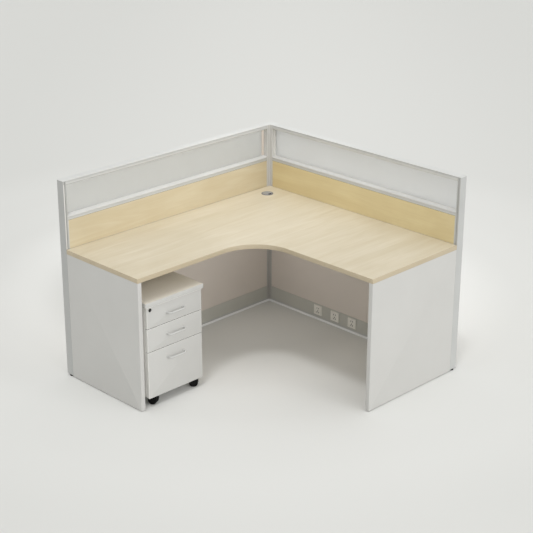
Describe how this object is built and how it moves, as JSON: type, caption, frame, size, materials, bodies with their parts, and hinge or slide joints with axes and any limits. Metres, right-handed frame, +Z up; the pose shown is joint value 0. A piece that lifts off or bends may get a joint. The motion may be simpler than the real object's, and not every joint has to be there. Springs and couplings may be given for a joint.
{
  "type": "corner workstation",
  "caption": "L-shaped cubicle workstation: framed glazed partitions, maple worktop with a curved inner corner, white gables, floor raceway with outlets and a mobile pedestal.",
  "frame": {"origin": "on the floor, under the middle of the overall box", "axes": "+X along the back partition towards the inner corner, +Y from the user's side towards the back partition, +Z up"},
  "size_m": [1.575, 1.465, 1.13],
  "materials": {
    "frame": "satin anodised",
    "top_rail": "pale satin anodised",
    "glass": "acid-etched, frosted",
    "bead": "pale satin",
    "maple_tile": "maple laminate, satin",
    "lower_tile": "off-white melamine board, matte",
    "raceway": "grey powder coat",
    "socket": "off-white moulded",
    "worktop": "pale maple laminate, satin",
    "edge_band": "maple print, satin",
    "grommet": "silver-grey",
    "grommet_cap": "pale silver-grey",
    "white_board": "warm white melamine board",
    "drawer_front": "warm white melamine board",
    "drawer_box": "light grey melamine board",
    "handle": "pale silver, satin",
    "runner": "zinc plated",
    "bracket": "silver-grey",
    "screw": "zinc plated",
    "foot": "black moulded",
    "lock": "bright nickel",
    "lock_plug": "dark nickel",
    "castor": "black nylon",
    "wheel": "black nylon, smooth tread"
  },
  "bodies": {
    "workstation": {"corner_post": "frame", "left_end_post": "frame", "right_end_post": "frame", "inner_stiles": "frame", "post_caps": "top_rail", "top_rails": "top_rail", "mid_rails": "frame", "lower_rails": "frame", "back_glass": "glass", "return_glass": "glass", "glazing_beads": "bead", "back_maple_tile": "maple_tile", "return_maple_tile": "maple_tile", "outer_maple_tiles": "maple_tile", "lower_tiles": "lower_tile", "back_raceway_cover": "raceway", "return_raceway_cover": "raceway", "outer_raceway_covers": "raceway", "sockets": "socket", "worktop": "worktop", "worktop_edge_band": "edge_band", "grommet_ring": "grommet", "left_gable": "white_board", "right_gable": "white_board", "gable_glides": "foot", "worktop_brackets": "bracket", "bracket_screws": "screw"},
    "corner_leveller": {"corner_leveller": "foot"},
    "left_leveller": {"left_leveller": "foot"},
    "right_leveller": {"right_leveller": "foot"},
    "grommet_cap": {"grommet_cap": "grommet_cap"},
    "pedestal": {"pedestal_sides": "white_board", "pedestal_back": "white_board", "pedestal_base": "white_board", "pedestal_top": "white_board", "cabinet_runners": "runner", "castor_plates": "bracket"},
    "drawer_1": {"drawer_1_front": "drawer_front", "drawer_1_box": "drawer_box", "drawer_1_handle": "handle", "drawer_1_runners": "runner", "lock_barrel": "lock"},
    "drawer_2": {"drawer_2_front": "drawer_front", "drawer_2_box": "drawer_box", "drawer_2_handle": "handle", "drawer_2_runners": "runner"},
    "drawer_3": {"drawer_3_front": "drawer_front", "drawer_3_box": "drawer_box", "drawer_3_handle": "handle", "drawer_3_runners": "runner"},
    "lock_plug": {"lock_plug": "lock_plug"},
    "lock_bar": {"lock_bar": "bracket"},
    "castor_front_left": {"castor_front_left": "castor"},
    "wheels_front_left": {"wheels_front_left": "wheel"},
    "castor_front_right": {"castor_front_right": "castor"},
    "wheels_front_right": {"wheels_front_right": "wheel"},
    "castor_rear_left": {"castor_rear_left": "castor"},
    "wheels_rear_left": {"wheels_rear_left": "wheel"},
    "castor_rear_right": {"castor_rear_right": "castor"},
    "wheels_rear_right": {"wheels_rear_right": "wheel"}
  },
  "joints": [
    {"name": "corner_leveller_turn", "type": "hinge", "parent": "workstation", "child": "corner_leveller", "pos_m": [0.7625, 0.7075, 0.02], "axis": [0, 0, 1], "continuous": true},
    {"name": "left_leveller_turn", "type": "hinge", "parent": "workstation", "child": "left_leveller", "pos_m": [-0.7775, 0.7075, 0.02], "axis": [0, 0, 1], "continuous": true},
    {"name": "right_leveller_turn", "type": "hinge", "parent": "workstation", "child": "right_leveller", "pos_m": [0.7625, -0.7225, 0.02], "axis": [0, 0, 1], "continuous": true},
    {"name": "grommet_cap_turn", "type": "hinge", "parent": "workstation", "child": "grommet_cap", "pos_m": [0.6225, 0.5865, 0.7515], "axis": [0, 0, 1], "continuous": true},
    {"name": "pedestal_roll", "type": "slide", "parent": "workstation", "child": "pedestal", "axis": [0, -1, 0], "range_m": [0, 0.6]},
    {"name": "drawer_1_slide", "type": "slide", "parent": "pedestal", "child": "drawer_1", "axis": [0, -1, 0], "range_m": [0, 0.32]},
    {"name": "drawer_2_slide", "type": "slide", "parent": "pedestal", "child": "drawer_2", "axis": [0, -1, 0], "range_m": [0, 0.32]},
    {"name": "drawer_3_slide", "type": "slide", "parent": "pedestal", "child": "drawer_3", "axis": [0, -1, 0], "range_m": [0, 0.32]},
    {"name": "lock_turn", "type": "hinge", "parent": "drawer_1", "child": "lock_plug", "pos_m": [-0.7109, 0.1135, 0.557], "axis": [0, 1, 0], "range_deg": [0, 180]},
    {"name": "lock_bar_lift", "type": "slide", "parent": "pedestal", "child": "lock_bar", "axis": [0, 0, 1], "range_m": [0, 0.007]},
    {"name": "castor_front_left_swivel", "type": "hinge", "parent": "pedestal", "child": "castor_front_left", "pos_m": [-0.6855, 0.1545, 0.06], "axis": [0, 0, 1], "continuous": true},
    {"name": "wheels_front_left_roll", "type": "hinge", "parent": "castor_front_left", "child": "wheels_front_left", "pos_m": [-0.67789, 0.13819, 0.025], "axis": [0.9063, 0.4226, 0], "continuous": true},
    {"name": "castor_front_right_swivel", "type": "hinge", "parent": "pedestal", "child": "castor_front_right", "pos_m": [-0.4015, 0.1545, 0.06], "axis": [0, 0, 1], "continuous": true},
    {"name": "wheels_front_right_roll", "type": "hinge", "parent": "castor_front_right", "child": "wheels_front_right", "pos_m": [-0.38771, 0.14293, 0.025], "axis": [0.6428, 0.766, 0], "continuous": true},
    {"name": "castor_rear_left_swivel", "type": "hinge", "parent": "pedestal", "child": "castor_rear_left", "pos_m": [-0.6855, 0.5545, 0.06], "axis": [0, 0, 1], "continuous": true},
    {"name": "wheels_rear_left_roll", "type": "hinge", "parent": "castor_rear_left", "child": "wheels_rear_left", "pos_m": [-0.69166, 0.53759, 0.025], "axis": [0.9397, -0.342, 0], "continuous": true},
    {"name": "castor_rear_right_swivel", "type": "hinge", "parent": "pedestal", "child": "castor_rear_right", "pos_m": [-0.4015, 0.5545, 0.06], "axis": [0, 0, 1], "continuous": true},
    {"name": "wheels_rear_right_roll", "type": "hinge", "parent": "castor_rear_right", "child": "wheels_rear_right", "pos_m": [-0.39776, 0.53689, 0.025], "axis": [0.9781, 0.2079, 0], "continuous": true}
  ],
  "couplings": [
    {"joint": "lock_turn", "follows": "lock_bar_lift", "rad_per_m": 448.79}
  ]
}
